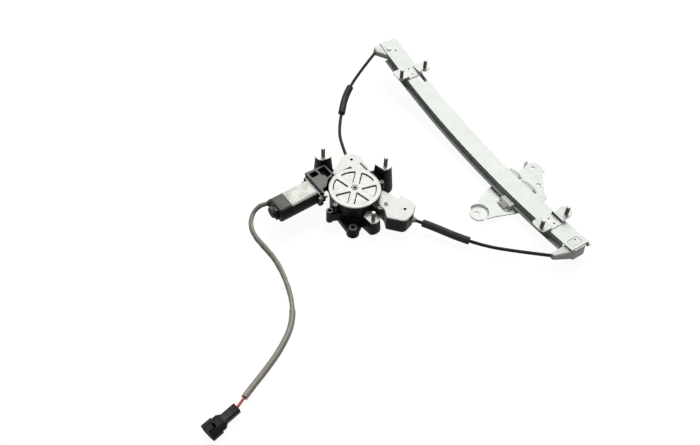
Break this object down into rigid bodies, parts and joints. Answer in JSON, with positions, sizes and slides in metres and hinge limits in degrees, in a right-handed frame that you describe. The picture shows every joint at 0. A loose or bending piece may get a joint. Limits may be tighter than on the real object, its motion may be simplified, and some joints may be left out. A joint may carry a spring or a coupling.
{
  "type": "window regulator",
  "caption": "Cable window regulator: curved hat-section guide rail, glass carrier on sliders, drum and worm gearbox with motor, threaded mounting studs, motor lead and plug.",
  "frame": {"origin": "On the drum's axis, at the flat back face of the mounting base.", "axes": "+Z from the back face towards the ends of the mounting studs; +Y along the guide rail to its upper end, the end that the glass rises to; +X from the motor across to the rail."},
  "size_m": [0.6422, 0.4948, 0.0702],
  "materials": {
    "zinc_steel": "galvanised, satin",
    "bright_steel": "bright zinc plated",
    "spring_steel": "stranded wire, oiled",
    "shaft_steel": "ground steel",
    "copper": "copper",
    "bronze": "sintered bronze",
    "tin_brass": "tin plated brass",
    "ferrite": "dark ferrite",
    "carbon": "pressed carbon",
    "black_plastic": "black moulded plastic",
    "cream_plastic": "cream moulded plastic",
    "grey_plastic": "dark grey moulded plastic",
    "natural_plastic": "natural acetal",
    "dark_grey_plastic": "grey-black moulded plastic",
    "black_rubber": "soft black rubber",
    "grey_sleeve": "grey-brown soft tube",
    "black_sheath": "black plastic sheath",
    "red_wire": "red wire insulation",
    "red_seal": "crimson silicone"
  },
  "bodies": {
    "frame": {"guide_rail": "zinc_steel", "upper_cable_guide": "natural_plastic", "lower_cable_guide": "natural_plastic", "upper_guide_rivet": "bright_steel", "rail_cable": "spring_steel", "upper_stud_bracket": "zinc_steel", "lower_stud_bracket": "zinc_steel", "bracket_rivets": "bright_steel", "rail_studs": "bright_steel", "mounting_base": "black_plastic", "drum_cover": "cream_plastic", "cover_rivet": "bright_steel", "inner_cables": "spring_steel", "upper_ferrule": "natural_plastic", "lower_ferrule": "natural_plastic", "stud_flanges": "bright_steel", "motor_studs": "bright_steel", "gear_housing": "black_plastic", "gear_cover": "zinc_steel", "cover_screws": "bright_steel", "motor_can": "bright_steel", "can_screws": "bright_steel", "motor_end_cap": "dark_grey_plastic", "shaft_bearings": "bronze", "thrust_pad": "natural_plastic", "can_magnets": "ferrite", "brushes": "carbon", "lead_bracket": "grey_plastic", "cord_grommet": "black_rubber", "connector_housing": "black_plastic", "connector_insert": "black_plastic", "connector_seal": "red_seal", "connector_terminals": "tin_brass", "lead_wires": "red_wire", "upper_lead_sleeve": "grey_sleeve", "lower_lead_sleeve": "grey_sleeve", "upper_conduit": "black_sheath", "lower_conduit": "black_sheath", "upper_conduit_sleeve": "black_rubber", "lower_conduit_sleeve": "black_rubber"},
    "drum": {"drum_shaft": "shaft_steel", "retaining_ring": "spring_steel", "cable_drum": "natural_plastic", "drum_cable": "spring_steel", "worm_wheel": "natural_plastic"},
    "armature": {"armature_shaft": "shaft_steel", "armature_core": "shaft_steel", "armature_windings": "copper", "commutator": "copper"},
    "carrier": {"carrier_plate": "zinc_steel", "left_slider": "natural_plastic", "upper_right_slider": "natural_plastic", "lower_right_slider": "natural_plastic", "slider_rivets": "bright_steel", "cable_holder": "natural_plastic", "cable_nipples": "bright_steel"}
  },
  "joints": [
    {"name": "drum_turn", "type": "hinge", "parent": "frame", "child": "drum", "pos_m": [0, 0, 0], "axis": [0, 0, 1], "range_deg": [-703, 165]},
    {"name": "window_travel", "type": "hinge", "parent": "frame", "child": "carrier", "pos_m": [0.2185, -0.0812, 1.324], "axis": [1, 0, 0], "range_deg": [-2.8, 11.83]},
    {"name": "armature_spin", "type": "hinge", "parent": "frame", "child": "armature", "pos_m": [-0.00198, 0.03434, 0.0335], "axis": [0.9983, 0.0576, 0], "continuous": true}
  ],
  "couplings": [
    {"joint": "window_travel", "follows": "drum_turn", "ratio": -0.016794},
    {"joint": "armature_spin", "follows": "drum_turn", "ratio": 48}
  ]
}
